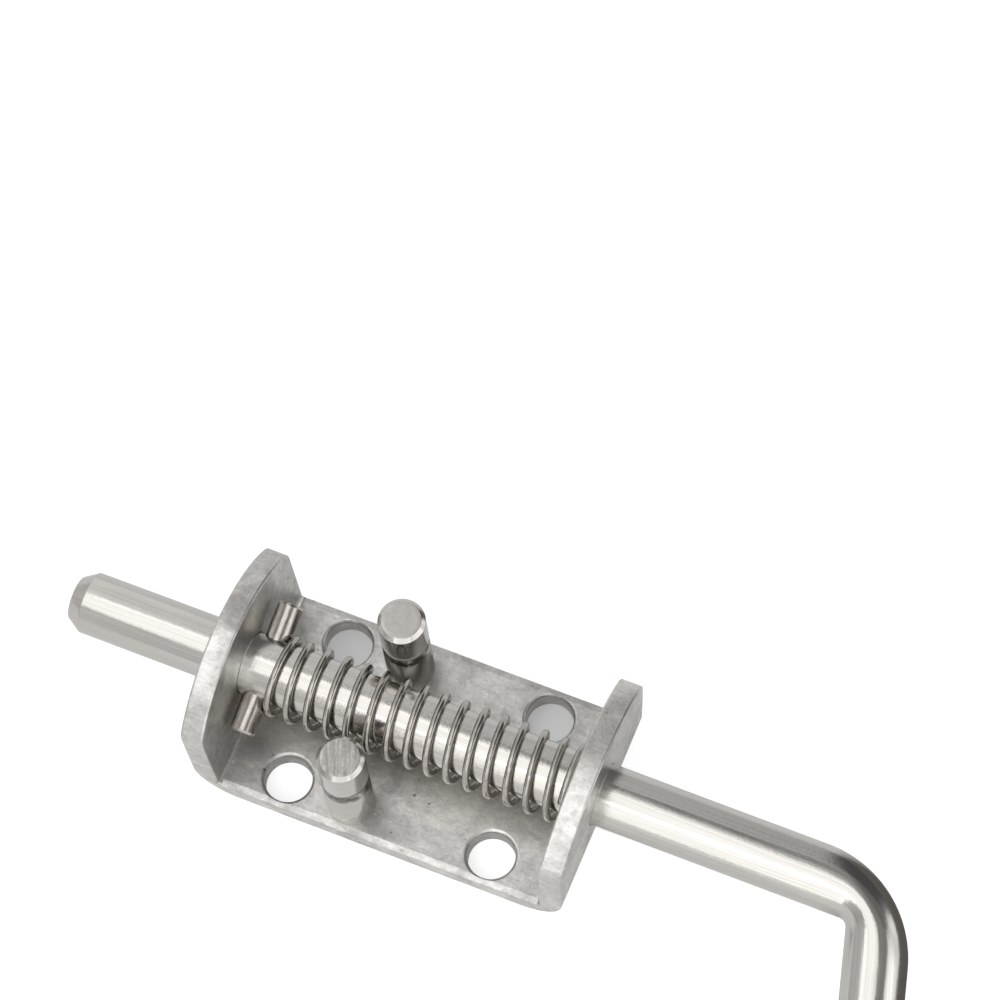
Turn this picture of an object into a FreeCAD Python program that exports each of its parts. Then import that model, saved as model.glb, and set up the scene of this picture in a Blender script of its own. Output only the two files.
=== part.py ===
import FreeCAD, Part
import math
import os

# Spring loaded gate latch, in millimetres.
# A folded U bracket stands on its base, the round bolt slides through both of its ears along X,
# and the bolt's bent end is the handle. +Z is up and z = 0 is the underside of the base.
# The origin is the centre of the four screw holes, and +X points to the handle.

# Bracket
sheet_thickness = 4.5
bracket_width = 40.8
base_inner_length = 65.6
bend_inner_radius = 0.6
bend_outer_radius = 9.0
ear_lean_deg = 2.1
ear_top_height = 35.2
ear_arc_radius = 26.0
ear_corner_radius = 4.0
bracket_edge_break = 0.4
rolled_band_width = 1.3
rolled_band_depth = 0.22
screw_hole_diameter = 9.1
screw_hole_spacing_x = 41.5
screw_hole_spacing_y = 29.0
screw_hole_top_rim = 0.7
screw_hole_bottom_rim = 0.3

# Sliding bolt and its bent handle
rod_diameter = 12.0
rod_axis_height = 18.5
bore_clearance = 0.1
bore_edge_break = 0.3
tip_projection = 31.4
tip_face_diameter = 8.4
tip_taper_length = 2.8
handle_standoff = 42.4
bend_angle_deg = 75.0
bend_centreline_radius = 16.2
bend_inner_corner_radius = 1.8
handle_droop_deg = 14.5
handle_reach = 50.0
handle_end_chamfer = 1.5
bend_run_in = 2.0
bend_fan_steps = 6
bend_straight_steps = 3

# Cross pin through the bolt
pin_diameter = 5.0
pin_length = 26.0
pin_ear_gap = 0.8
pin_chamfer = 0.45

# Stop posts riveted into the base
post_diameter = 9.1
post_pin_spacing = 22.2
post_spacing_y = 29.0
post_top_height = 29.8
post_chamfer = 0.8
groove_clearance = 0.2
groove_depth = 0.65
spigot_diameter = 6.0
rivet_head_diameter = 7.6
rivet_head_depth = 0.8

# Return spring, open between the cross pin and the ear at the handle's side
spring_outer_diameter = 16.0
spring_wire_diameter = 1.4
spring_drop = 0.42
spring_forward_offset = 0.25
spring_start_offset = -0.2
spring_end_gap = 0.2
spring_lean = 0.45
spring_lean_direction_deg = 20.0
spring_pin_closed_turns = 0.5
spring_ear_closed_turns = 0.45
spring_turns = 15.4
spring_closed_pitch = 1.4
spring_start_angle_deg = -5.0
spring_steps_per_turn = 16
spring_ramp_turns = 0.3

# Values worked out from the sizes above
rod_radius = rod_diameter / 2
pin_radius = pin_diameter / 2
post_radius = post_diameter / 2
wire_radius = spring_wire_diameter / 2
tolerance = 1e-4
half_width = bracket_width / 2
half_inner = base_inner_length / 2
lean_slope = math.tan(math.radians(ear_lean_deg))
ear_wall_x = sheet_thickness / math.cos(math.radians(ear_lean_deg))
ear_x_at_rod = half_inner + (rod_axis_height - sheet_thickness) * lean_slope
tip_x = -(ear_x_at_rod + ear_wall_x + tip_projection)
bend_start_x = ear_x_at_rod + ear_wall_x + handle_standoff
pin_x = -(ear_x_at_rod - pin_ear_gap - pin_radius)
post_x = pin_x + post_pin_spacing

X_AXIS = FreeCAD.Vector(1, 0, 0)
Y_AXIS = FreeCAD.Vector(0, 1, 0)
Z_AXIS = FreeCAD.Vector(0, 0, 1)
ORIGIN = FreeCAD.Vector(0, 0, 0)


def prism(points, offset):
    """Solid from a closed outline of points, pushed along the vector offset."""
    wire = Part.makePolygon(points + points[:1])
    return Part.Face(wire).extrude(offset)


def edges_of(faces):
    """Every edge of the faces, once each."""
    found = {}
    for face in faces:
        for edge in face.Edges:
            found[edge.hashCode()] = edge
    return list(found.values())


def ear_inner_x(height):
    """Distance of an ear's inner face from the middle of the bracket, at a height above z = 0."""
    return half_inner + (height - sheet_thickness) * lean_slope


def folded_strip():
    """The sheet folded up at both ends, with rounded folds, before its ears are trimmed."""
    top = ear_top_height + sheet_thickness
    foot = ear_inner_x(0) + ear_wall_x
    head = ear_inner_x(top)
    right = [(foot, 0), (head + ear_wall_x, top), (head, top), (half_inner, sheet_thickness)]
    left = [(-x, z) for x, z in reversed(right)]
    points = [FreeCAD.Vector(x, -half_width, z) for x, z in right + left]
    strip = prism(points, Y_AXIS * bracket_width)
    strip = strip.makeFillet(bend_inner_radius, fold_edges(strip, half_inner, sheet_thickness))
    return strip.makeFillet(bend_outer_radius, fold_edges(strip, foot, 0))


def fold_edges(strip, x, height):
    """The two edges across the strip at x either side of the middle, at a height."""
    found = []
    for edge in strip.Edges:
        middle = edge.CenterOfMass
        across = abs(middle.y) < tolerance and abs(middle.z - height) < tolerance
        if across and abs(abs(middle.x) - x) < tolerance:
            found.append(edge)
    return found


def ear_outline():
    """Straight sides and an arched top, as a block along X that trims both ears."""
    arc_centre_z = ear_top_height - ear_arc_radius
    side_top = arc_centre_z + math.sqrt(ear_arc_radius ** 2 - half_width ** 2)
    x = -2 * base_inner_length
    bottom_left = FreeCAD.Vector(x, -half_width, -sheet_thickness)
    bottom_right = FreeCAD.Vector(x, half_width, -sheet_thickness)
    top_left = FreeCAD.Vector(x, -half_width, side_top)
    top_right = FreeCAD.Vector(x, half_width, side_top)
    crown = FreeCAD.Vector(x, 0, ear_top_height)
    edges = [
        Part.LineSegment(top_left, bottom_left).toShape(),
        Part.LineSegment(bottom_left, bottom_right).toShape(),
        Part.LineSegment(bottom_right, top_right).toShape(),
        Part.Arc(top_right, crown, top_left).toShape(),
    ]
    block = Part.Face(Part.Wire(edges)).extrude(X_AXIS * (4 * base_inner_length))
    corners = []
    for edge in block.Edges:
        middle = edge.CenterOfMass
        if abs(middle.x) < tolerance and abs(middle.z - side_top) < tolerance:
            corners.append(edge)
    return block.makeFillet(ear_corner_radius, corners)


def rolled_edges(blank):
    """Rounds the cut edge of the sheet all the way round the folded blank."""
    cut_faces = []
    for face in blank.Faces:
        on_side = abs(abs(face.CenterOfMass.y) - half_width) < tolerance
        is_arched = isinstance(face.Surface, Part.Cylinder) and abs(face.Surface.Axis.x) > 0.9
        if on_side or is_arched:
            cut_faces.append(face)
    return blank.makeFillet(bracket_edge_break, edges_of(cut_faces))


def pressed_bands(blank):
    """Lowers a shallow sloping band along both long edges of the base, as a press leaves it."""
    reach = half_inner - bend_inner_radius
    for side in (-1, 1):
        outline = [(half_width, sheet_thickness - rolled_band_depth),
                   (half_width - rolled_band_width, sheet_thickness),
                   (half_width, sheet_thickness + rolled_band_depth)]
        points = [FreeCAD.Vector(-reach, side * y, z) for y, z in outline]
        blank = blank.cut(prism(points, X_AXIS * (2 * reach)))
    return blank


def screw_hole_centres():
    """The four screw hole centres."""
    for x in (-screw_hole_spacing_x / 2, screw_hole_spacing_x / 2):
        for y in (-screw_hole_spacing_y / 2, screw_hole_spacing_y / 2):
            yield x, y


def drill_screw_holes(blank):
    """Four screw holes with rounded rims above and below."""
    radius = screw_hole_diameter / 2
    for x, y in screw_hole_centres():
        hole = Part.makeCylinder(radius, 2 * sheet_thickness, FreeCAD.Vector(x, y, -sheet_thickness / 2))
        blank = blank.cut(hole)
    for height, rim in ((sheet_thickness, screw_hole_top_rim), (0, screw_hole_bottom_rim)):
        rims = []
        for edge in blank.Edges:
            if edge.Degenerated or not isinstance(edge.Curve, Part.Circle):
                continue
            same_radius = abs(edge.Curve.Radius - radius) < tolerance
            if same_radius and abs(edge.Curve.Center.z - height) < tolerance:
                rims.append(edge)
        blank = blank.makeFillet(rim, rims)
    return blank


def drill_rod_bores(blank):
    """One straight bore through both ears, with its edges broken."""
    radius = rod_radius + bore_clearance
    reach = base_inner_length
    start = FreeCAD.Vector(-reach, 0, rod_axis_height)
    blank = blank.cut(Part.makeCylinder(radius, 2 * reach, start, X_AXIS))
    rims = []
    for face in blank.Faces:
        surface = face.Surface
        if isinstance(surface, Part.Cylinder) and abs(surface.Radius - radius) < tolerance:
            rims += [edge for edge in face.Edges if edge.Length > 3 * radius]
    return blank.makeFillet(bore_edge_break, rims)


def drill_post_holes(blank):
    """The two rivet holes of the posts, countersunk from below."""
    flare = (rivet_head_diameter - spigot_diameter) / 2
    for side in (-1, 1):
        foot = FreeCAD.Vector(post_x, side * post_spacing_y / 2, 0)
        blank = blank.cut(Part.makeCylinder(spigot_diameter / 2, sheet_thickness, foot))
        sink = Part.makeCone(spigot_diameter / 2 + flare, spigot_diameter / 2, rivet_head_depth, foot)
        blank = blank.cut(sink)
    return blank


def bracket():
    """Folded bracket with arched ears, bored along X and drilled for screws and posts."""
    blank = rolled_edges(folded_strip().common(ear_outline()))
    blank = drill_rod_bores(blank)
    blank = drill_screw_holes(blank)
    blank = pressed_bands(blank)
    return drill_post_holes(blank)


def stop_post(side):
    """Turned post with a round groove at the bolt's height, and its riveted spigot."""
    groove_radius = pin_radius + groove_clearance
    groove_half = math.sqrt(groove_radius ** 2 - (groove_radius - groove_depth) ** 2)
    low = FreeCAD.Vector(post_radius, 0, rod_axis_height - groove_half)
    root = FreeCAD.Vector(post_radius - groove_depth, 0, rod_axis_height)
    high = FreeCAD.Vector(post_radius, 0, rod_axis_height + groove_half)
    below = [(0, 0), (rivet_head_diameter / 2, 0), (spigot_diameter / 2, rivet_head_depth),
             (spigot_diameter / 2, sheet_thickness), (post_radius, sheet_thickness)]
    above = [(post_radius, post_top_height - post_chamfer),
             (post_radius - post_chamfer, post_top_height), (0, post_top_height), (0, 0)]
    lower = Part.makePolygon([FreeCAD.Vector(r, 0, z) for r, z in below] + [low])
    upper = Part.makePolygon([high] + [FreeCAD.Vector(r, 0, z) for r, z in above])
    groove = Part.Arc(low, root, high).toShape()
    profile = Part.Wire(lower.Edges + [groove] + upper.Edges)
    post = Part.Face(profile).revolve(ORIGIN, Z_AXIS, 360)
    post.translate(FreeCAD.Vector(post_x, side * post_spacing_y / 2, 0))
    return post


def place_on_rod(shape):
    """Turns a shape made about the X axis by the handle's droop and lifts it to the bolt's axis."""
    shape = shape.copy()
    shape.rotate(ORIGIN, X_AXIS, handle_droop_deg)
    shape.translate(Z_AXIS * rod_axis_height)
    return shape


def oval_wire(centre, outward, half_outward, half_across):
    """Closed oval with one half-axis along the unit vector outward and the other along Z."""
    normal = outward.cross(Z_AXIS)
    matrix = FreeCAD.Matrix(
        outward.x * half_outward, 0, normal.x, centre.x,
        outward.y * half_outward, 0, normal.y, centre.y,
        0, half_across, 0, centre.z,
        0, 0, 0, 1)
    return Part.Wire([Part.makeCircle(1)]).transformGeometry(matrix)


def bend_sections():
    """Sections of the bend in the XY plane, as (centre, outward direction, half thickness).

    The bar keeps its full width across the bend. Its inner edge turns a tight corner and its outer
    edge a wide arc, so the bar is thinner there, as a bar bent over a former is.
    """
    half_turn = math.radians(bend_angle_deg / 2)
    corner_x = bend_start_x + bend_centreline_radius * math.tan(half_turn)
    corner = FreeCAD.Vector(corner_x, 0, 0)
    outer_radius = bend_centreline_radius + rod_radius
    arc_run = bend_centreline_radius * math.tan(half_turn)
    fan_distance = rod_radius + bend_inner_corner_radius
    fan_run = fan_distance * math.tan(half_turn)
    arc_centre = FreeCAD.Vector(bend_start_x, -bend_centreline_radius, 0)
    fan_centre = FreeCAD.Vector(corner_x - fan_run, -fan_distance, 0)
    angles = [math.radians(bend_angle_deg) * i / bend_fan_steps for i in range(bend_fan_steps + 1)]

    def thinned(run):
        """Distance of the outer edge from the straight axis, run short of the arc's own end."""
        return math.sqrt(outer_radius ** 2 - run ** 2) - bend_centreline_radius

    sections = []
    for i in range(bend_straight_steps):
        run = (arc_run - fan_run) * i / bend_straight_steps
        outer = thinned(run)
        centre = FreeCAD.Vector(bend_start_x + run, (outer - rod_radius) / 2, 0)
        sections.append((centre, Y_AXIS, (outer + rod_radius) / 2))
    for angle in angles:
        outward = FreeCAD.Vector(math.sin(angle), math.cos(angle), 0)
        offset = fan_centre - arc_centre
        along = offset.dot(outward)
        reach = -along + math.sqrt(along ** 2 - offset.dot(offset) + outer_radius ** 2)
        middle = (reach + bend_inner_corner_radius) / 2
        sections.append((fan_centre + outward * middle, outward, (reach - bend_inner_corner_radius) / 2))
    leg = leg_direction()
    for i in range(bend_straight_steps - 1, -1, -1):
        run = (arc_run - fan_run) * i / bend_straight_steps
        outer = thinned(run)
        centre = corner + leg * (arc_run - run) + outward * ((outer - rod_radius) / 2)
        sections.append((centre, outward, (outer + rod_radius) / 2))
    return sections, corner


def leg_direction():
    """Direction of the handle's leg in the XY plane, before the droop is applied."""
    turn = math.radians(bend_angle_deg)
    return FreeCAD.Vector(math.cos(turn), -math.sin(turn), 0)


def handle_bend():
    """Lofted bend with a short straight run-in at each end, and the point where the leg begins."""
    sections, corner = bend_sections()
    first, last = sections[0], sections[-1]
    leg = leg_direction()
    run_in = [(first[0] - X_AXIS * step, first[1], first[2]) for step in (bend_run_in, bend_run_in / 2)]
    run_out = [(last[0] + leg * step, last[1], last[2]) for step in (bend_run_in / 2, bend_run_in)]
    wires = [oval_wire(c, out, half, rod_radius) for c, out, half in run_in + sections + run_out]
    return Part.makeLoft(wires, True, False), run_out[-1][0], corner


def bolt_rod():
    """Round bar with a tapered tip, a cross hole for the pin and one end bent over as the handle."""
    bend, leg_start, corner = handle_bend()
    straight_end = bend_start_x - bend_run_in
    taper_x = tip_x + tip_taper_length
    profile = [(tip_x, 0), (tip_x, tip_face_diameter / 2), (taper_x, rod_radius),
               (straight_end, rod_radius), (straight_end, 0)]
    points = [FreeCAD.Vector(x, r, 0) for x, r in profile]
    straight = Part.Face(Part.makePolygon(points + points[:1])).revolve(ORIGIN, X_AXIS, 360)
    leg = leg_direction()
    leg_total = handle_reach / math.sin(math.radians(bend_angle_deg))
    leg_length = leg_total - (leg_start - corner).Length
    shank = Part.makeCylinder(rod_radius, leg_length - handle_end_chamfer, leg_start, leg)
    end = leg_start + leg * (leg_length - handle_end_chamfer)
    nose = Part.makeCone(rod_radius, rod_radius - handle_end_chamfer, handle_end_chamfer, end, leg)
    rod = straight.fuse([bend, shank, nose]).removeSplitter()
    cross_hole = Part.makeCylinder(pin_radius, 4 * rod_radius, FreeCAD.Vector(pin_x, -2 * rod_radius, 0), Y_AXIS)
    return place_on_rod(rod.cut(cross_hole))


def cross_pin():
    """Plain pin through the bolt, chamfered at both ends."""
    half = pin_length / 2
    body = Part.makeCylinder(pin_radius, pin_length, FreeCAD.Vector(pin_x, -half, 0), Y_AXIS)
    ends = [edge for edge in body.Edges if isinstance(edge.Curve, Part.Circle)]
    return place_on_rod(body.makeChamfer(pin_chamfer, ends))


def open_share(turn):
    """How far the coil is open at a turn: 0 in the closed ends and 1 between them."""
    from_end = min(turn - spring_pin_closed_turns, spring_turns - turn - spring_ear_closed_turns)
    return min(1, max(0, from_end / spring_ramp_turns + 0.5))


def spring_path():
    """Points on the axis of the wire: a right-hand coil with closed ends that hangs on the bolt.

    The coils at the pin lean, because the pin bears on them at two places only, and the lean fades
    out toward the ear.
    """
    axis_height = rod_axis_height - spring_drop
    lowest = axis_height - spring_outer_diameter / 2
    start_x = pin_x + pin_radius + wire_radius + spring_start_offset
    end_x = ear_inner_x(lowest) - spring_end_gap - wire_radius
    radius = (spring_outer_diameter - spring_wire_diameter) / 2
    count = round(spring_turns * spring_steps_per_turn)
    step = spring_turns / count
    shares = [open_share((i + 0.5) * step) for i in range(count)]
    open_turns = sum(shares) * step
    closed_rise = (spring_turns - open_turns) * spring_closed_pitch
    pitch = (end_x - start_x - closed_rise) / open_turns
    points = []
    x = start_x
    for i in range(count + 1):
        angle = math.radians(spring_start_angle_deg) + 2 * math.pi * i * step
        fade = (1 - i / count) ** 2
        lean = spring_lean * fade * math.cos(angle - math.radians(spring_lean_direction_deg))
        y = radius * math.cos(angle) - spring_forward_offset
        z = radius * math.sin(angle) + axis_height
        points.append(FreeCAD.Vector(x + lean, y, z))
        if i < count:
            x += step * (shares[i] * pitch + (1 - shares[i]) * spring_closed_pitch)
    return points


def return_spring():
    """Round wire swept along the coil."""
    points = spring_path()
    curve = Part.BSplineCurve()
    curve.interpolate(points)
    path = Part.Wire([curve.toShape()])
    start_direction = curve.tangent(curve.FirstParameter)[0]
    section = Part.Wire([Part.makeCircle(wire_radius, points[0], start_direction)])
    return path.makePipeShell([section], True, True)


def solid_of(shape):
    """The single solid in a shape."""
    return shape.Solids[0] if shape.Solids else shape


def main():
    os.makedirs("parts", exist_ok=True)
    pieces = {
        "bracket": bracket(),
        "front_stop_post": stop_post(-1),
        "rear_stop_post": stop_post(1),
        "bolt_rod": bolt_rod(),
        "cross_pin": cross_pin(),
        "return_spring": return_spring(),
    }
    for name, shape in pieces.items():
        solid_of(shape).exportStep("parts/" + name + ".step")


main()
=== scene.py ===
"""Looks of the spring loaded gate latch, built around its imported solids."""

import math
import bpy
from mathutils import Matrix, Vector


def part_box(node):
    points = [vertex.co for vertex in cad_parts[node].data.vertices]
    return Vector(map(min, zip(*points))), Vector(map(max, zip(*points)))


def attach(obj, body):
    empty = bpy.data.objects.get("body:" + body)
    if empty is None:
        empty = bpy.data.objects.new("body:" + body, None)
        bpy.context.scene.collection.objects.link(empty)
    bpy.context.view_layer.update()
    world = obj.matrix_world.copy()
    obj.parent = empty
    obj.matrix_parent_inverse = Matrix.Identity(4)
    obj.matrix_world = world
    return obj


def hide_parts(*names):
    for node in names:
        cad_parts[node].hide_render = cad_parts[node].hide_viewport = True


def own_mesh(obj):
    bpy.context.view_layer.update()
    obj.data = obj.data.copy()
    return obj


bl_info = {
    "name": "Gate latch looks",
    "version": (1, 0, 0),
    "blender": (4, 5, 0),
    "location": "View3D > Sidebar > Gate Latch",
    "description": "Dresses the spring loaded gate latch and sets its stage",
    "category": "Object",
}

import bmesh
import bpy
from bpy.props import FloatProperty, FloatVectorProperty, IntProperty, PointerProperty
from mathutils import Matrix, Vector

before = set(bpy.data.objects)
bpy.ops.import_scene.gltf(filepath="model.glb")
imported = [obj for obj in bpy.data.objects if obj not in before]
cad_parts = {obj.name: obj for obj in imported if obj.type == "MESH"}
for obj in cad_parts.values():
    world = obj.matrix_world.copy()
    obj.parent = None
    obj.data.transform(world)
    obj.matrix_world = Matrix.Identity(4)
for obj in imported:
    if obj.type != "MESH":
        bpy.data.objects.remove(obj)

MM = 0.001
X_AXIS = Vector((1, 0, 0))
Y_AXIS = Vector((0, 1, 0))
Z_AXIS = Vector((0, 0, 1))

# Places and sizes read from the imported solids, in metres.
ROD_LOW, ROD_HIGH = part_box("bolt_rod")
PIN_LOW, PIN_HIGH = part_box("cross_pin")
SPRING_LOW, SPRING_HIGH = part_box("return_spring")
FRONT_POST_LOW, FRONT_POST_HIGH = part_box("front_stop_post")
ROD_RADIUS = ROD_HIGH.y
ROD_HEIGHT = ROD_HIGH.z - ROD_RADIUS
PIN_RADIUS = (PIN_HIGH.x - PIN_LOW.x) / 2
PIN_X = (PIN_HIGH.x + PIN_LOW.x) / 2
POST_RADIUS = (FRONT_POST_HIGH.x - FRONT_POST_LOW.x) / 2
POST_X = (FRONT_POST_HIGH.x + FRONT_POST_LOW.x) / 2

# The base's top and long sides, a little inside, which bound the walls of its screw holes.
HOLE_WALL_TOP = 4.4 * MM
HOLE_WALL_SIDE = 19.9 * MM
# The floor seen through the two rear screw holes, where painted shade greys it: half its length
# along X, and its far side.
REAR_HOLES_X = 27 * MM
REAR_HOLES_Y = 21 * MM
# The floor beyond the handle's bend carries a painted dark reflection: in mirrors it darkens
# between these places along X and along Y.
FAR_FLOOR_X = (80 * MM, 95 * MM)
FAR_FLOOR_Y = (-45 * MM, -25 * MM)
# The painted shade in and below the groove is set over this distance above and below the bolt's
# axis.
GROOVE_REACH = 2.4 * MM

# Light of the room over the X and the Y of a direction, each as a share from 0 at -1 to 1 at +1.
ROOM_OVER_X = [(0.0, 0.50), (0.15, 0.60), (0.35, 0.92), (0.385, 0.86), (0.41, 0.58), (0.46, 0.52),
               (0.5, 0.46), (0.6, 0.22), (0.83, 0.22), (0.865, 1.1), (0.96, 1.25), (1.0, 1.1)]
ROOM_OVER_Y = [(0.0, 0.8), (0.2, 0.8), (0.26, 1.0), (0.57, 1.3), (0.75, 1.0)]
# Darker parts of the room, each with its light and its extent over Y and over X: the air round the
# softbox, then two gaps at the back.
ROOM_DARK_PARTS = (
    (0.30, [(0.19, 0.0), (0.225, 1.0), (0.54, 1.0), (0.57, 0.0)],
     [(0.2, 0.0), (0.24, 1.0), (0.7, 1.0), (0.74, 0.0)]),
    (0.04, [(0.615, 0.0), (0.635, 1.0), (0.73, 1.0), (0.76, 0.0)],
     [(0.40, 0.0), (0.43, 0.9), (0.5, 0.3)]),
    (0.09, [(0.76, 0.0), (0.82, 1.0)],
     [(0.45, 0.0), (0.52, 1.0), (0.76, 1.0), (0.82, 0.0)]),
)


def linear(hex_colour):
    """Linear RGBA of an sRGB hex colour such as "#b4b2ae"."""
    channels = [int(hex_colour[i:i + 2], 16) / 255 for i in (1, 3, 5)]
    return [c / 12.92 if c <= 0.04045 else ((c + 0.055) / 1.055) ** 2.4 for c in channels] + [1.0]


def colour_property(name, description, hex_colour):
    return FloatVectorProperty(name=name, description=description, subtype="COLOR", size=4,
                               min=0, max=1, default=linear(hex_colour))


def length_property(name, description, millimetres):
    return FloatProperty(name=name, description=description, default=millimetres * MM,
                         unit="LENGTH", precision=5)


def angle_property(name, description, degrees):
    return FloatProperty(name=name, description=description, default=math.radians(degrees),
                         subtype="ANGLE")


def number_property(name, description, number):
    return FloatProperty(name=name, description=description, default=number, min=0)


def count_property(name, description, count):
    return IntProperty(name=name, description=description, default=count)


def place_property(name, description, metres):
    return FloatVectorProperty(name=name, description=description, default=metres,
                               subtype="TRANSLATION")


def area_property(name, description, metres):
    return FloatVectorProperty(name=name, description=description, default=metres, size=2,
                               unit="LENGTH")


class BarSettings(bpy.types.PropertyGroup):
    """Sizes of the bolt, its bent handle and its cross pin."""

    tip_face_radius: length_property("Tip face radius", "Flat face at the bolt's tip", 4.2)
    tip_taper: length_property("Tip taper", "Length of the taper at the bolt's tip", 2.8)
    tip_rounding: length_property("Edge rounding", "Rounding of the bar's turned edges", 0.25)
    bend_start: length_property("Bend start", "Where its outer edge leaves the straight", 80.216)
    bend_radius: length_property("Bend radius", "Radius of the bend at the bar's centreline", 16.2)
    inner_corner: length_property("Inner corner", "Radius of the bend's tight inner corner", 1.8)
    bend_angle: angle_property("Bend angle", "Angle that the bar is bent through", 75)
    droop: angle_property("Droop", "How far the handle hangs below the level", 14.5)
    reach: length_property("Handle reach", "The handle's end from the bolt's axis", 50.0)
    end_chamfer: length_property("End chamfer", "Chamfer at the handle's end", 1.5)
    segments: count_property("Segments", "Sides of the bar's round section", 96)
    pin_chamfer: length_property("Pin chamfer", "Chamfer at the ends of the cross pin", 0.45)
    pin_rounding: length_property("Pin rounding", "Rounding of the cross pin's edges", 0.1)
    pin_segments: count_property("Pin segments", "Sides of the cross pin", 64)


class SpringSettings(bpy.types.PropertyGroup):
    """Sizes of the return spring."""

    wire_radius: length_property("Wire radius", "Radius of the spring's wire", 0.7)
    turns: number_property("Turns", "All turns of the coil, end to end", 15.4)
    pin_closed_turns: number_property("Closed turns at pin", "Closed turns at the cross pin", 0.5)
    ear_closed_turns: number_property("Closed turns at ear", "Closed turns at the ear", 0.45)
    ramp_turns: number_property("Ramp turns", "Turns over which the pitch opens", 0.3)
    closed_pitch: length_property("Closed pitch", "Pitch of the closed turns", 1.4)
    start_offset: length_property("Start offset", "Start of the coil from the cross pin", -0.2)
    lean: length_property("Lean", "How far the first coils lean along the bolt", 0.45)
    lean_direction: angle_property("Lean direction", "Side of the coil that leans forward", 20)
    start_angle: angle_property("Start angle", "Where the wire begins, seen along the bolt", -5)
    steps: count_property("Steps", "Steps in each turn", 48)
    sides: count_property("Sides", "Sides of the wire's section", 20)


class PostSettings(bpy.types.PropertyGroup):
    """Sizes of the two stop posts."""

    chamfer: length_property("Top chamfer", "Chamfer round the top of a post", 0.8)
    rounding: length_property("Edge rounding", "Rounding of a post's turned edges", 0.15)
    groove_radius: length_property("Groove radius", "Radius of the round groove's section", 2.7)
    groove_depth: length_property("Groove depth", "Depth of the round groove", 0.65)
    spacing: length_property("Spacing", "Distance between the two posts' axes", 29.0)
    spigot_radius: length_property("Spigot radius", "Riveted spigot in the base", 3.0)
    base_thickness: length_property("Base thickness", "The base that a post stands on", 4.5)
    segments: count_property("Segments", "Sides of a post", 128)


class FinishSettings(bpy.types.PropertyGroup):
    """Colours of the metal and of the stage."""

    sheet: colour_property("Sheet", "Tumbled stainless sheet of the bracket", "#e7e5e1")
    bar: colour_property("Bar", "Drawn stainless bar of the bolt and handle", "#d7d4cf")
    post: colour_property("Post", "Turned stainless posts", "#d1cdc8")
    pin: colour_property("Pin", "Bright pin steel", "#cec8c2")
    wire: colour_property("Wire", "Bright spring wire", "#c7c2bb")
    speck: colour_property("Speck", "Bright specks where the sheet was rubbed", "#f8f7f4")
    # Grime in the sheet's pits, and also the colour of the painted shade on the posts and on the
    # screw holes' walls, and of the floor's painted dark reflection beyond the bend.
    grime_and_painted_shade: colour_property("Grime", "Darkened metal in pits and marks", "#5c5751")
    floor: colour_property("Floor", "Pale studio floor", "#dcdcdc")


class StageSettings(bpy.types.PropertyGroup):
    """Camera, lamps and floor."""

    camera_place: place_property("Camera place", "Where it stands", (0.16330, -0.24338, 0.82425))
    camera_target: place_property("Camera target", "Where it looks", (-0.00604, 0.05408, 0.0))
    camera_roll: angle_property("Camera roll", "Its turn about its own axis", -7.796)
    camera_lens: number_property("Camera lens", "Focal length in millimetres", 165.6)
    softbox_place: place_property("Softbox place", "Its centre", (-0.225, -0.34, 1.15))
    softbox_target: place_property("Softbox target", "The point it faces", (0.0, 0.0, 0.02))
    softbox_size: area_property("Softbox size", "Its width and depth", (1.05, 0.94))
    softbox_radiance: number_property("Softbox radiance", "1 shows white in a mirror", 1.2)
    panel_place: place_property("Panel place", "Its centre", (0.19, -0.45, 0.28))
    panel_target: place_property("Panel target", "The point it faces", (0.1, 0.0, 0.02))
    panel_size: area_property("Panel size", "Its width and height", (0.62, 0.56))
    panel_radiance: number_property("Panel radiance", "1 shows white in a mirror", 1.1)
    floor_size: length_property("Floor size", "Width of the studio floor", 6000)
    floor_drop: length_property("Floor drop", "Gap between the bracket and the floor", 0.05)
    floor_glow: number_property("Floor glow", "Own light of the floor for the camera", 0.70)
    # Painted shade: the floor's lower glow under the two rear screw holes.
    shaded_glow: number_property("Shaded glow", "The same under the two rear screw holes", 0.24)
    mirror_glow: number_property("Mirror glow", "Own light of the floor in mirrors", 0.18)
    # Painted dark reflection: the floor's lower glow in mirrors beyond the handle's bend.
    far_glow: number_property("Far glow", "The same beyond the handle's bend", 0.04)


def add_node(tree, kind, inputs=None, stops=(), **settings):
    """Adds a node with its settings, its inputs and, on a colour ramp, its stops.

    An input goes by name or number. It is a value, a socket, or a node that gives its first
    output in use. A colour Mix node takes its factor and its two colours at 0, 6 and 7. A stop
    is (position, linear grey).
    """
    node = tree.nodes.new("ShaderNode" + kind)
    for key, value in settings.items():
        setattr(node, key, value)
    for key, value in (inputs or {}).items():
        if isinstance(value, bpy.types.Node):
            value = next(socket for socket in value.outputs if socket.enabled)
        if isinstance(value, bpy.types.NodeSocket):
            tree.links.new(value, node.inputs[key])
        else:
            node.inputs[key].default_value = value
    if stops:
        elements = node.color_ramp.elements
        elements.remove(elements[0])
        for i, (position, grey) in enumerate(stops):
            element = elements.new(position) if i else elements[0]
            element.position = position
            element.color = (grey, grey, grey, 1)
    return node


def new_material(name):
    """An empty node material and its tree."""
    material = bpy.data.materials.new(name)
    material.use_nodes = True
    material.node_tree.nodes.clear()
    return material, material.node_tree


def end_material(tree, inputs):
    """Ends a material's tree with its shader and output."""
    shader = add_node(tree, "BsdfPrincipled", inputs)
    add_node(tree, "OutputMaterial", {"Surface": shader})


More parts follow.
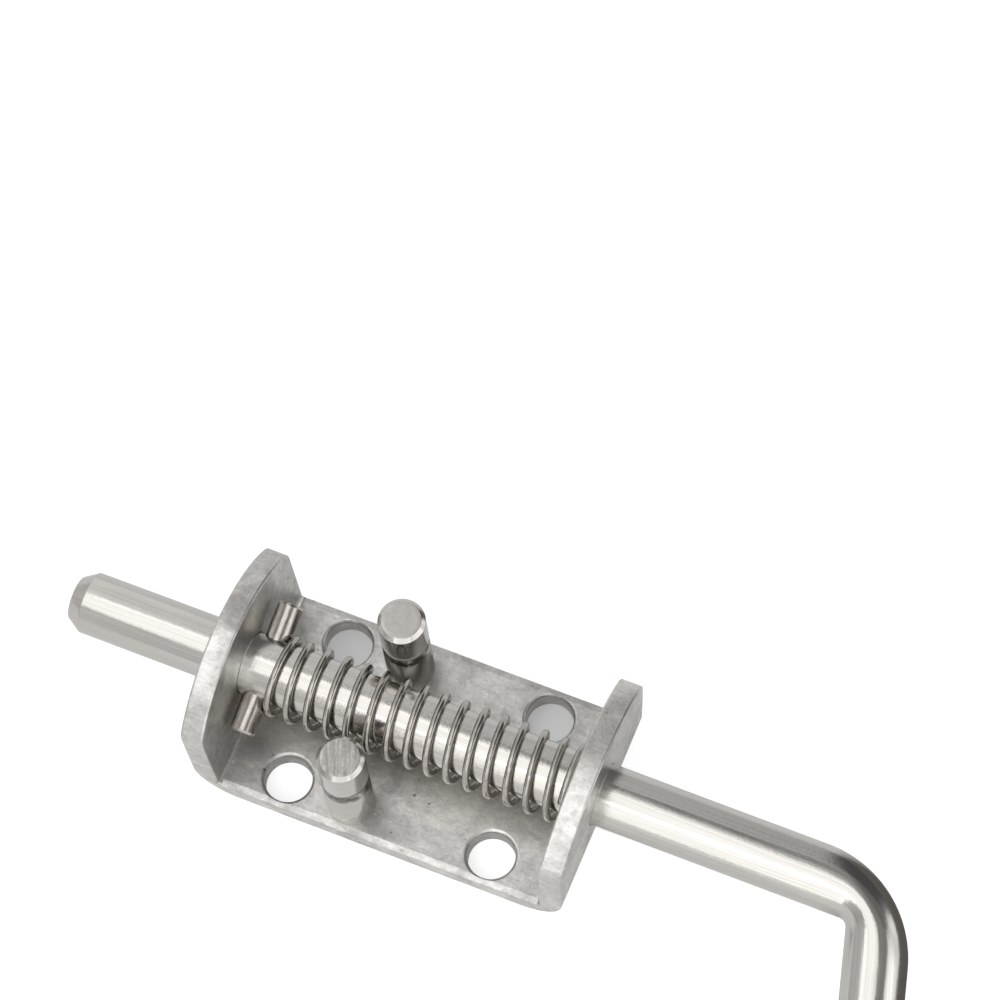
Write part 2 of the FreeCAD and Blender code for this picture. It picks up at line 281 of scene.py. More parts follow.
def pattern(tree, kind, place, periods_mm, inputs):
    """A texture over a place, with a period in millimetres along each axis."""
    scale = [1 / (period * MM) for period in periods_mm]
    place = add_node(tree, "Mapping", {"Vector": place, "Scale": scale})
    return add_node(tree, kind, {"Vector": place, "Scale": 1.0, **inputs})


def blend_values(tree, parts):
    """Weighted sum of grey values, from (value, weight) pairs."""
    total = 0.0
    for value, weight in parts:
        total = add_node(tree, "Math", {0: value, 1: weight, 2: total}, operation="MULTIPLY_ADD")
    return total


def darker(colour, share):
    """The colour with its light scaled by a share."""
    return [c * share for c in colour[:3]] + [1]


def held_below(tree, mask, limits):
    """The mask where each value is below its limit, and 0 elsewhere, from (value, limit) pairs."""
    for value, limit in limits:
        below = add_node(tree, "Math", {0: value, 1: limit}, operation="LESS_THAN")
        mask = add_node(tree, "Math", {0: mask, 1: below}, operation="MULTIPLY")
    return mask


def punched_walls(tree, place):
    """1 on the upright walls inside the base's screw holes, and 0 elsewhere."""
    normal = add_node(tree, "NewGeometry").outputs["True Normal"]
    facing = add_node(tree, "SeparateXYZ", {"Vector": normal}).outputs["Z"]
    facing = add_node(tree, "Math", {0: facing}, operation="ABSOLUTE")
    upright = add_node(tree, "ValToRGB", {"Fac": facing}, [(0.3, 1.0), (0.7, 0.0)])
    spot = add_node(tree, "SeparateXYZ", {"Vector": place}).outputs
    aside = add_node(tree, "Math", {0: spot["Y"]}, operation="ABSOLUTE")
    return held_below(tree, upright, [(spot["Z"], HOLE_WALL_TOP), (aside, HOLE_WALL_SIDE)])


def tumbled_sheet(settings):
    """Stainless sheet, stamped, folded and tumbled.

    It is mottled, with faint rolling lines, worn grain, bright specks and dark pits, and has
    painted shade on the punched walls in its screw holes.
    """
    material, tree = new_material("tumbled_stainless_sheet")
    place = add_node(tree, "TexCoord").outputs["Object"]
    cloud = pattern(tree, "TexNoise", place, (9, 9, 9),
                    {"Detail": 5, "Roughness": 0.6, "Distortion": 0.4})
    patch = pattern(tree, "TexNoise", place, (2.6, 1.7, 2.0),
                    {"Detail": 5, "Roughness": 0.65, "Distortion": 0.6})
    # Rolling lines and grain are too fine to show, so they are drawn as coarse as they need.
    lines = pattern(tree, "TexNoise", place, (5, 0.4, 0.4), {"Detail": 3, "Roughness": 0.6})
    fine = pattern(tree, "TexNoise", place, (0.6, 0.6, 0.6), {"Detail": 3, "Roughness": 0.7})
    mottle = blend_values(tree, [(cloud, 0.42), (patch, 0.33), (lines, 0.08), (fine, 0.17)])
    rare = pattern(tree, "TexNoise", place, (6, 6, 6), {"Detail": 1, "Roughness": 0.55})
    rare = add_node(tree, "ValToRGB", {"Fac": rare}, [(0.52, 0.0), (0.6, 1.0)])
    pits = pattern(tree, "TexVoronoi", place, (3.4, 3.4, 3.4), {"Randomness": 1.0})
    pits = add_node(tree, "ValToRGB", {"Fac": pits}, [(0.0, 1.0), (0.06, 0.7), (0.11, 0.0)])
    pits = add_node(tree, "Math", {0: pits, 1: rare}, operation="MULTIPLY")
    rubbed = add_node(tree, "ValToRGB", {"Fac": patch}, [(0.48, 0.0), (0.58, 1.0)])
    specks = pattern(tree, "TexVoronoi", place, (1.1, 0.8, 0.8), {"Randomness": 1.0})
    specks = add_node(tree, "ValToRGB", {"Fac": specks}, [(0.0, 1.0), (0.12, 0.8), (0.2, 0.0)])
    specks = add_node(tree, "Math", {0: specks, 1: rubbed}, operation="MULTIPLY")
    light = add_node(tree, "ValToRGB", {"Fac": mottle}, [(0.40, 0.0), (0.60, 1.0)])
    tone = add_node(tree, "Mix", {0: light, 6: darker(settings.sheet, 0.60), 7: settings.sheet[:]},
                    data_type="RGBA")
    # Painted shade on the upright walls inside the screw holes.
    painted_shade = add_node(tree, "Math", {0: punched_walls(tree, place), 1: 0.3}, operation="MULTIPLY")
    for mask, colour in ((painted_shade, settings.grime_and_painted_shade), (specks, settings.speck), (pits, settings.grime_and_painted_shade)):
        tone = add_node(tree, "Mix", {0: mask, 6: tone, 7: colour[:]}, data_type="RGBA")
    rough = add_node(tree, "ValToRGB", {"Fac": mottle}, [(0.40, 0.44), (0.60, 0.30)])
    worn = add_node(tree, "ValToRGB", {"Fac": cloud}, [(0.44, 0.25), (0.56, 1.0)])
    grain = add_node(tree, "Math", {0: fine, 1: worn}, operation="MULTIPLY")
    height = blend_values(tree, [(grain, 1.3), (patch, 1.0), (specks, 0.6), (pits, -1.5)])
    small = add_node(tree, "Bump", {"Height": height, "Strength": 0.5, "Distance": 0.05 * MM})
    wide = add_node(tree, "Bump", {
        "Height": cloud, "Strength": 0.6, "Distance": 0.15 * MM, "Normal": small})
    end_material(tree, {"Base Color": tone, "Roughness": rough, "Metallic": 1.0, "Normal": wide})
    return material


def drawn_bar(settings):
    """Cold drawn stainless bar: bright, with fine drawing lines along it and a faint grain."""
    material, tree = new_material("drawn_stainless_bar")
    place = add_node(tree, "Attribute", attribute_name="straight_place").outputs["Vector"]
    # Drawing lines and grain are too fine to show, so they are drawn as coarse as they need.
    lines = pattern(tree, "TexNoise", place, (30, 0.35, 0.35), {"Detail": 4, "Roughness": 0.6})
    grain = pattern(tree, "TexNoise", place, (0.7, 0.5, 0.5), {"Detail": 3, "Roughness": 0.7})
    cloud = pattern(tree, "TexNoise", place, (14, 5, 5),
                    {"Detail": 4, "Roughness": 0.6, "Distortion": 0.3})
    light = add_node(tree, "ValToRGB", {"Fac": lines}, [(0.35, 0.0), (0.7, 1.0)])
    tone = add_node(tree, "Mix", {0: light, 6: darker(settings.bar, 0.86), 7: settings.bar[:]},
                    data_type="RGBA")
    rough = add_node(tree, "ValToRGB", {"Fac": cloud}, [(0.3, 0.10), (0.75, 0.20)])
    drawn = add_node(tree, "Bump", {"Height": lines, "Strength": 0.35, "Distance": 0.03 * MM})
    normal = add_node(tree, "Bump", {
        "Height": grain, "Strength": 0.7, "Distance": 0.03 * MM, "Normal": drawn})
    end_material(tree, {"Base Color": tone, "Roughness": rough, "Metallic": 1.0, "Normal": normal})
    return material


def turned_post(settings, name, mark_periods, mark_turn, contrast, painted_shade):
    """Turned stainless post: fine rings round its side, and painted shade in its groove.

    Its top is as the saw or the lathe left it, with marks of mark_periods at mark_turn and with
    their contrast, and below the groove painted shade darkens it to a share.
    """
    material, tree = new_material(name)
    place = add_node(tree, "TexCoord").outputs["Object"]
    # The rings are too fine to show, so they are drawn as coarse as they need.
    rings = pattern(tree, "TexNoise", place, (40, 40, 0.3), {"Detail": 3, "Roughness": 0.6})
    aligned = add_node(tree, "VectorRotate", {"Vector": place, "Angle": mark_turn},
                       rotation_type="Z_AXIS")
    saw = pattern(tree, "TexNoise", aligned, mark_periods, {"Detail": 5, "Roughness": 0.65})
    fine = pattern(tree, "TexNoise", place, (0.6, 0.6, 0.6), {"Detail": 3, "Roughness": 0.6})
    normal = add_node(tree, "NewGeometry").outputs["Normal"]
    up = add_node(tree, "SeparateXYZ", {"Vector": normal}).outputs["Z"]
    top = add_node(tree, "ValToRGB", {"Fac": up}, [(0.9, 0.0), (0.97, 1.0)])
    marks = blend_values(tree, [(saw, 0.75), (fine, 0.25)])
    marks = add_node(tree, "Mix", {0: top, 6: rings, 7: marks}, data_type="RGBA")
    dark = add_node(tree, "ValToRGB", {"Fac": marks}, [(0.38, 1.0), (0.62, 0.0)])
    faint = add_node(tree, "Math", {0: dark, 1: 0.2}, operation="MULTIPLY")
    dark = add_node(tree, "Mix", {0: top, 6: faint, 7: dark}, data_type="RGBA")
    marked = darker(settings.post, 1 - contrast)
    tone = add_node(tree, "Mix", {0: dark, 6: settings.post[:], 7: marked}, data_type="RGBA")
    height = add_node(tree, "SeparateXYZ", {"Vector": place}).outputs["Z"]
    level = add_node(tree, "MapRange", {
        "Value": height,
        "From Min": ROD_HEIGHT - GROOVE_REACH, "From Max": ROD_HEIGHT + GROOVE_REACH})
    # Painted shade in the groove, blotched with noise.
    groove = add_node(tree, "ValToRGB", {"Fac": level},
                      [(0.1, 0.0), (0.2, 1.0), (0.6, 1.0), (0.75, 0.0)])
    shade_blotches = pattern(tree, "TexNoise", place, (2.2, 2.2, 1.2), {"Detail": 4, "Roughness": 0.6})
    shade_blotches = add_node(tree, "ValToRGB", {"Fac": shade_blotches}, [(0.4, 0.2), (0.56, 0.85)])
    groove = add_node(tree, "Math", {0: groove, 1: shade_blotches}, operation="MULTIPLY")
    # Painted shade below the groove, to a share.
    shade_below_groove = add_node(tree, "ValToRGB", {"Fac": level}, [(0.1, painted_shade), (0.2, 0.0)])
    painted_shade_mask = add_node(tree, "Math", {0: groove, 1: shade_below_groove}, operation="MAXIMUM")
    tone = add_node(tree, "Mix", {0: painted_shade_mask, 6: tone, 7: settings.grime_and_painted_shade[:]}, data_type="RGBA")
    rough = add_node(tree, "ValToRGB", {"Fac": marks}, [(0.38, 0.4), (0.62, 0.24)])
    rough = add_node(tree, "Mix", {0: top, 6: (0.16, 0.16, 0.16, 1), 7: rough}, data_type="RGBA")
    rough = add_node(tree, "Mix", {0: painted_shade_mask, 6: rough, 7: (0.4, 0.4, 0.4, 1)}, data_type="RGBA")
    depth = add_node(tree, "Math", {0: top, 1: 0.07 * MM, 2: 0.01 * MM}, operation="MULTIPLY_ADD")
    normal = add_node(tree, "Bump", {"Height": marks, "Strength": contrast, "Distance": depth})
    end_material(tree, {"Base Color": tone, "Roughness": rough, "Metallic": 1.0, "Normal": normal})
    return material


def bright_pin(settings):
    """Hard bright pin, with faint lines along its length."""
    material, tree = new_material("bright_steel_pin")
    place = add_node(tree, "TexCoord").outputs["Object"]
    # The lines are too fine to show, so they are drawn as coarse as they need.
    lines = pattern(tree, "TexNoise", place, (0.3, 20, 0.3), {"Detail": 3, "Roughness": 0.6})
    light = add_node(tree, "ValToRGB", {"Fac": lines}, [(0.35, 0.0), (0.7, 1.0)])
    tone = add_node(tree, "Mix", {0: light, 6: darker(settings.pin, 0.75), 7: settings.pin[:]},
                    data_type="RGBA")
    normal = add_node(tree, "Bump", {"Height": lines, "Strength": 0.4, "Distance": 0.04 * MM})
    end_material(tree, {"Base Color": tone, "Roughness": 0.2, "Metallic": 1.0, "Normal": normal})
    return material


def spring_wire(settings):
    """Drawn spring wire, slightly oily and bright."""
    material, tree = new_material("bright_spring_wire")
    place = add_node(tree, "TexCoord").outputs["Object"]
    cloud = pattern(tree, "TexNoise", place, (2.2, 2.2, 2.2), {"Detail": 4, "Roughness": 0.65})
    light = add_node(tree, "ValToRGB", {"Fac": cloud}, [(0.35, 0.0), (0.7, 1.0)])
    tone = add_node(tree, "Mix", {0: light, 6: darker(settings.wire, 0.7), 7: settings.wire[:]},
                    data_type="RGBA")
    rough = add_node(tree, "ValToRGB", {"Fac": cloud}, [(0.3, 0.12), (0.75, 0.24)])
    end_material(tree, {"Base Color": tone, "Roughness": rough, "Metallic": 1.0})
    return material


def rounded_outline(points, radius, steps=4):
    """A 2D outline with each inner corner rounded by up to radius."""
    points = [Vector(p) for p in points]
    result = [points[0]]
    for before, corner, after in zip(points, points[1:], points[2:]):
        to_before = (before - corner).normalized()
        to_after = (after - corner).normalized()
        half = to_before.angle(to_after) / 2
        side = min((before - corner).length, (after - corner).length)
        run = min(radius / math.tan(half), side / 2.2)
        start = corner + to_before * run
        end = corner + to_after * run
        for i in range(steps + 1):
            t = i / steps
            result.append(start * (1 - t) ** 2 + corner * (2 * t * (1 - t)) + end * t ** 2)
    result.append(points[-1])
    return result


def finish_piece(bm, name, material, body, nodes):
    """Turns the bmesh into a smooth piece that rides on a body and stands for its CAD nodes."""
    bmesh.ops.recalc_face_normals(bm, faces=bm.faces)
    for face in bm.faces:
        face.smooth = True
    mesh = bpy.data.meshes.new(name)
    bm.to_mesh(mesh)
    bm.free()
    mesh.materials.append(material)
    piece = bpy.data.objects.new(name, mesh)
    bpy.context.scene.collection.objects.link(piece)
    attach(piece, body)
    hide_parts(*nodes)
    return piece


def oval_matrix(centre, outward, half_outward, half_across):
    """Matrix that takes a unit circle in XY to an oval section of the bar, across it along Z."""
    columns = (outward * half_outward, Z_AXIS * half_across, outward.cross(Z_AXIS))
    return Matrix([(*column, 0) for column in columns] + [(*centre, 1)]).transposed()


def bend_sections(bar):
    """Sections of the bent bar past the straight, as (centre, outward, half thickness).

    The inner edge turns a tight corner and the outer edge a wide arc, so the bar is a little
    thinner there, as a bar bent over a former is.
    """
    half_turn = bar.bend_angle / 2
    corner = Vector((bar.bend_start + bar.bend_radius * math.tan(half_turn), 0, 0))
    leg = Vector((math.cos(bar.bend_angle), -math.sin(bar.bend_angle), 0))
    outer_radius = bar.bend_radius + ROD_RADIUS
    arc_run = bar.bend_radius * math.tan(half_turn)
    fan_distance = ROD_RADIUS + bar.inner_corner
    fan_run = fan_distance * math.tan(half_turn)
    arc_centre = Vector((bar.bend_start, -bar.bend_radius, 0))
    fan_centre = Vector((corner.x - fan_run, -fan_distance, 0))
    sections = []
    straight_steps = 6
    for i in range(straight_steps):
        run = (arc_run - fan_run) * i / straight_steps
        outer = math.sqrt(outer_radius ** 2 - run ** 2) - bar.bend_radius
        centre = Vector((bar.bend_start + run, (outer - ROD_RADIUS) / 2, 0))
        sections.append((centre, Y_AXIS, (outer + ROD_RADIUS) / 2))
    fan_steps = 30
    for i in range(fan_steps + 1):
        angle = bar.bend_angle * i / fan_steps
        outward = Vector((math.sin(angle), math.cos(angle), 0))
        offset = fan_centre - arc_centre
        along = offset.dot(outward)
        reach = -along + math.sqrt(along ** 2 - offset.dot(offset) + outer_radius ** 2)
        centre = fan_centre + outward * (reach + bar.inner_corner) / 2
        sections.append((centre, outward, (reach - bar.inner_corner) / 2))
    outward = Vector((math.sin(bar.bend_angle), math.cos(bar.bend_angle), 0))
    for i in range(straight_steps - 1, -1, -1):
        run = (arc_run - fan_run) * i / straight_steps
        outer = math.sqrt(outer_radius ** 2 - run ** 2) - bar.bend_radius
        centre = corner + leg * (arc_run - run) + outward * ((outer - ROD_RADIUS) / 2)
        sections.append((centre, outward, (outer + ROD_RADIUS) / 2))
    return sections, corner, leg


def bar_sections(bar):
    """Every section from the bolt's tip to the handle's end, as (matrix, length along the bar)."""
    tip_x = ROD_LOW.x
    bend, corner, leg = bend_sections(bar)
    inset = 0.4 * MM
    tip = rounded_outline([
        (tip_x, bar.tip_face_radius - 2 * inset), (tip_x, bar.tip_face_radius),
        (tip_x + bar.tip_taper, ROD_RADIUS), (tip_x + 3 * bar.tip_taper, ROD_RADIUS)],
        bar.tip_rounding)
    rows = [(Vector((x, 0, 0)), Y_AXIS, radius, radius) for x, radius in tip]
    straight_steps = 40
    for i in range(1, straight_steps):
        x = tip[-1].x + (bar.bend_start - tip[-1].x) * i / straight_steps
        rows.append((Vector((x, 0, 0)), Y_AXIS, ROD_RADIUS, ROD_RADIUS))
    rows += [(centre, outward, half, ROD_RADIUS) for centre, outward, half in bend]
    outward = bend[-1][1]
    leg_length = bar.reach / math.sin(bar.bend_angle)
    leg_start = (bend[-1][0] - corner).length
    straight_end = leg_length - bar.end_chamfer
    end = rounded_outline([
        (straight_end - 3 * bar.end_chamfer, ROD_RADIUS), (straight_end, ROD_RADIUS),
        (leg_length, ROD_RADIUS - bar.end_chamfer), (leg_length, ROD_RADIUS - 2 * bar.end_chamfer)],
        bar.tip_rounding)
    leg_steps = 10
    for i in range(1, leg_steps):
        run = leg_start + (end[0].x - leg_start) * i / leg_steps
        rows.append((corner + leg * run, outward, ROD_RADIUS, ROD_RADIUS))
    rows += [(corner + leg * run, outward, radius, radius) for run, radius in end]
    placed = []
    length = 0
    previous = rows[0][0]
    for centre, outward, half, across in rows:
        length += (centre - previous).length
        previous = centre
        placed.append((oval_matrix(centre, outward, half, across), length))
    return placed


def build_bar(bar):
    """The bent bar, carrying for each point its place on the bar as if it were straight."""
    bm = bmesh.new()
    straight = bm.verts.layers.float_vector.new("straight_place")
    ring = bmesh.ops.create_circle(bm, segments=bar.segments, radius=1.0)["verts"]
    edges = list(bm.edges)
    previous = Matrix.Identity(4)
    for i, (matrix, length) in enumerate(bar_sections(bar)):
        if i:
            made = bmesh.ops.extrude_edge_only(bm, edges=edges)["geom"]
            ring = [g for g in made if isinstance(g, bmesh.types.BMVert)]
            edges = [g for g in made if isinstance(g, bmesh.types.BMEdge)]
        bmesh.ops.transform(bm, matrix=matrix @ previous.inverted(), verts=ring)
        inverse = matrix.inverted()
        for vert in ring:
            local = inverse @ vert.co
            vert[straight] = Vector((length, local.y * ROD_RADIUS, local.x * ROD_RADIUS))
        previous = matrix
    rims = [edge for edge in bm.edges if edge.is_boundary]
    bmesh.ops.holes_fill(bm, edges=rims, sides=0)
    place = Matrix.Translation(Z_AXIS * ROD_HEIGHT) @ Matrix.Rotation(bar.droop, 4, "X")
    bmesh.ops.transform(bm, matrix=place, verts=bm.verts)
    return bm


def build_turned(outline, segments, axis_place, axis=Z_AXIS):
    """A closed turned solid: outline is (radius, height) points from the axis to the axis."""
    bm = bmesh.new()
    verts = [bm.verts.new((radius, 0, height)) for radius, height in outline]
    edges = [bm.edges.new(pair) for pair in zip(verts, verts[1:])]
    bmesh.ops.spin(bm, geom=verts + edges, cent=(0, 0, 0), axis=Z_AXIS, dvec=(0, 0, 0),
                   angle=2 * math.pi, steps=segments, use_merge=True, use_duplicate=False)
    bmesh.ops.remove_doubles(bm, verts=bm.verts, dist=1e-7)
    turn = Z_AXIS.rotation_difference(axis).to_matrix().to_4x4()
    bmesh.ops.transform(bm, matrix=Matrix.Translation(axis_place) @ turn, verts=bm.verts)
    return bm


def post_outline(post):
    """Half section of a stop post above the base, with its groove at the bolt's height."""
    top = FRONT_POST_HIGH.z
    # A little above the base's underside.
    foot = FRONT_POST_LOW.z + 0.05 * MM
    base_top = post.base_thickness
    blend = 1 * MM
    groove_half = math.sqrt(post.groove_radius ** 2 - (post.groove_radius - post.groove_depth) ** 2)
    groove_centre = POST_RADIUS + post.groove_radius - post.groove_depth
    groove_span = math.asin(groove_half / post.groove_radius)
    groove_steps = 12
    groove = []
    for i in range(groove_steps + 1):
        angle = -groove_span + 2 * groove_span * i / groove_steps
        groove.append((groove_centre - post.groove_radius * math.cos(angle),
                       ROD_HEIGHT + post.groove_radius * math.sin(angle)))
    lower = rounded_outline([
        (post.spigot_radius, foot), (post.spigot_radius, base_top), (POST_RADIUS, base_top),
        (POST_RADIUS, base_top + blend)], post.rounding)
    upper = rounded_outline([
        (POST_RADIUS, ROD_HEIGHT + groove_half + blend), (POST_RADIUS, top - post.chamfer),
        (POST_RADIUS - post.chamfer, top), (POST_RADIUS - 2 * post.chamfer, top)], post.rounding)
    lower, upper = [[tuple(p) for p in part] for part in (lower, upper)]
    return [(0, foot)] + lower + groove + upper + [(0, top)]


def coil_places(spring, start_x, end_x):
    """Place along X of the wire's axis at each step of the coil."""
    count = round(spring.turns * spring.steps)
    step = spring.turns / count
    shares = []
    for i in range(count):
        turn = (i + 0.5) * step
        from_end = min(turn - spring.pin_closed_turns,
                       spring.turns - turn - spring.ear_closed_turns)
        shares.append(min(1, max(0, from_end / spring.ramp_turns + 0.5)))
    open_turns = sum(shares) * step
    pitch = (end_x - start_x - (spring.turns - open_turns) * spring.closed_pitch) / open_turns
    places = []
    x = start_x
    for i in range(count + 1):
        angle = spring.start_angle + 2 * math.pi * i * step
        fade = (1 - i / count) ** 2
        places.append(x + spring.lean * fade * math.cos(angle - spring.lean_direction))
        if i < count:
            x += step * (shares[i] * pitch + (1 - shares[i]) * spring.closed_pitch)
    return places


def build_coil(spring):
    """Right-hand coil of round wire with closed ends, turned step by step about its own axis."""
    coil_radius = (SPRING_HIGH.z - SPRING_LOW.z) / 2 - spring.wire_radius
    centre = Vector((0, (SPRING_LOW.y + SPRING_HIGH.y) / 2, (SPRING_LOW.z + SPRING_HIGH.z) / 2))
    start_x = PIN_HIGH.x + spring.wire_radius + spring.start_offset
    places = coil_places(spring, start_x, SPRING_HIGH.x - spring.wire_radius)
    angle = 2 * math.pi * spring.turns / (len(places) - 1)
    bm = bmesh.new()
    slope = math.atan2(spring.closed_pitch, 2 * math.pi * coil_radius)
    verts = bmesh.ops.create_circle(bm, segments=spring.sides, radius=spring.wire_radius)["verts"]
    place = (Matrix.Translation(centre + X_AXIS * places[0])
             @ Matrix.Rotation(spring.start_angle, 4, "X")
             @ Matrix.Translation((0, coil_radius, 0)) @ Matrix.Rotation(-slope, 4, "Y"))
    bmesh.ops.transform(bm, matrix=place, verts=verts)
    ring = list(bm.verts) + list(bm.edges)
    for before, after in zip(places, places[1:]):
        ring = bmesh.ops.spin(bm, geom=ring, cent=centre, axis=X_AXIS, dvec=(after - before, 0, 0),
                              angle=angle, steps=1, use_duplicate=False)["geom_last"]
    rims = [edge for edge in bm.edges if edge.is_boundary]
    bmesh.ops.holes_fill(bm, edges=rims, sides=0)
    return bm


class LATCH_OT_bracket(bpy.types.Operator):
    """Gives the folded bracket its tumbled stainless finish"""

    bl_idname = "latch.bracket"
    bl_label = "Dress Bracket"

    def execute(self, context):
        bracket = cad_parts["bracket"]
        bracket.data.materials.clear()
        bracket.data.materials.append(tumbled_sheet(context.scene.latch_finish))
        return {"FINISHED"}


class LATCH_OT_bar(bpy.types.Operator):
    """Builds the sliding bolt with its bent handle"""

    bl_idname = "latch.bar"
    bl_label = "Build Bolt and Handle"

    def execute(self, context):
        bm = build_bar(context.scene.latch_bar)
        material = drawn_bar(context.scene.latch_finish)
        finish_piece(bm, "bent_bolt_bar", material, "bolt_assembly", ["bolt_rod"])
        return {"FINISHED"}


class LATCH_OT_pin(bpy.types.Operator):
    """Builds the cross pin through the bolt"""

    bl_idname = "latch.pin"
    bl_label = "Build Cross Pin"

    def execute(self, context):
        bar = context.scene.latch_bar
        direction = Vector((0, math.cos(bar.droop), math.sin(bar.droop)))
        half_width = (PIN_HIGH.y - PIN_LOW.y) / 2
        half = half_width / math.cos(bar.droop) - PIN_RADIUS * math.tan(bar.droop)
        outline = rounded_outline([
            (PIN_RADIUS - 2 * bar.pin_chamfer, -half), (PIN_RADIUS - bar.pin_chamfer, -half),
            (PIN_RADIUS, -half + bar.pin_chamfer), (PIN_RADIUS, half - bar.pin_chamfer),
            (PIN_RADIUS - bar.pin_chamfer, half), (PIN_RADIUS - 2 * bar.pin_chamfer, half)],
            bar.pin_rounding)
        outline = [(0, -half)] + [tuple(p) for p in outline] + [(0, half)]
        bm = build_turned(outline, bar.pin_segments, Vector((PIN_X, 0, ROD_HEIGHT)), direction)
        material = bright_pin(context.scene.latch_finish)
        finish_piece(bm, "cross_pin_bright", material, "bolt_assembly", ["cross_pin"])
        return {"FINISHED"}


class LATCH_OT_posts(bpy.types.Operator):
    """Builds the two grooved stop posts"""

    bl_idname = "latch.posts"
    bl_label = "Build Stop Posts"

    def execute(self, context):
        post = context.scene.latch_post
        finish = context.scene.latch_finish
        sawn = turned_post(finish, "sawn_stainless_post", mark_periods=(0.7, 10, 10),
                           mark_turn=math.radians(-21), contrast=0.5, painted_shade=0.0)
        # The rear post's copy is darker below its groove: painted shade at a share of 0.5.
        faced = turned_post(finish, "faced_stainless_post", mark_periods=(2, 2, 2),
                            mark_turn=0, contrast=0.15, painted_shade=0.5)
        for node, side, material in (("front_stop_post", -1, sawn), ("rear_stop_post", 1, faced)):
            place = Vector((POST_X, side * post.spacing / 2, 0))
            bm = build_turned(post_outline(post), post.segments, place)
            finish_piece(bm, node + "_turned", material, "bracket_assembly", [node])
        return {"FINISHED"}


class LATCH_OT_spring(bpy.types.Operator):
    """Builds the return spring, which rides on the spring's end"""

    bl_idname = "latch.spring"
    bl_label = "Build Return Spring"

    def execute(self, context):
        bm = build_coil(context.scene.latch_spring)
        material = spring_wire(context.scene.latch_finish)
        piece = finish_piece(bm, "return_spring_coil", material, "spring_end",
                             ["return_spring"])
        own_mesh(piece)
        return {"FINISHED"}


def camera_matrix(stage):
    """Camera placed at camera_place, looking at camera_target, then rolled."""
    place = Vector(stage.camera_place)
    back = (place - Vector(stage.camera_target)).normalized()
    look = (-back).to_track_quat("-Z", "Y").to_matrix().to_4x4()
    return Matrix.Translation(place) @ look @ Matrix.Rotation(stage.camera_roll, 4, "Z")


def add_camera(stage):
    """The camera at the photograph's angle."""
    camera = bpy.data.cameras.new("photo_camera")
    camera.sensor_width = 36
    camera.lens = stage.camera_lens
    camera.clip_end = 20
    view = bpy.data.objects.new("photo_camera", camera)
    view.matrix_world = camera_matrix(stage)
    bpy.context.scene.collection.objects.link(view)
    bpy.context.scene.camera = view


def studio_world():
    """A pale room round the stage, white to the camera."""
    world = bpy.data.worlds.new("pale_room")
    world.use_nodes = True
    tree = world.node_tree
    tree.nodes.clear()
    direction = add_node(tree, "TexCoord").outputs["Generated"]
    parts = add_node(tree, "SeparateXYZ", {"Vector": direction}).outputs
    share_x, share_y = [
        add_node(tree, "Math", {0: parts[axis], 1: 0.5, 2: 0.5}, operation="MULTIPLY_ADD")
        for axis in ("X", "Y")]
    over_x = add_node(tree, "ValToRGB", {"Fac": share_x}, ROOM_OVER_X)
    over_y = add_node(tree, "ValToRGB", {"Fac": share_y}, ROOM_OVER_Y)
    room = add_node(tree, "Mix", {0: 1.0, 6: over_x, 7: over_y},
                    data_type="RGBA", blend_type="MULTIPLY")
    for light, stops_y, stops_x in ROOM_DARK_PARTS:
        over_x = add_node(tree, "ValToRGB", {"Fac": share_x}, stops_x)
        over_y = add_node(tree, "ValToRGB", {"Fac": share_y}, stops_y)
        mask = add_node(tree, "Math", {0: over_y, 1: over_x}, operation="MULTIPLY")
        grey = (light, light, light, 1)
        room = add_node(tree, "Mix", {0: mask, 6: room, 7: grey}, data_type="RGBA")
    seen = add_node(tree, "LightPath").outputs["Is Camera Ray"]
    room = add_node(tree, "Mix", {0: seen, 6: room, 7: (1, 1, 1, 1)}, data_type="RGBA")
    glow = add_node(tree, "Background", {"Color": room, "Strength": 1.0})
    add_node(tree, "OutputWorld", {"Surface": glow})
    return world


def add_softbox(name, place, target, size, radiance):
    """A soft rectangular lamp that faces a point; a radiance of 1 shows white in a mirror."""
    lamp = bpy.data.lights.new(name, "AREA")
    lamp.shape = "RECTANGLE"
    lamp.size, lamp.size_y = size
    lamp.energy = radiance * math.pi * size[0] * size[1]
    box = bpy.data.objects.new(name, lamp)
    place = Vector(place)
    box.location = place
    box.rotation_euler = (Vector(target) - place).to_track_quat("-Z", "Y").to_euler()
    box.visible_camera = False
    bpy.context.scene.collection.objects.link(box)


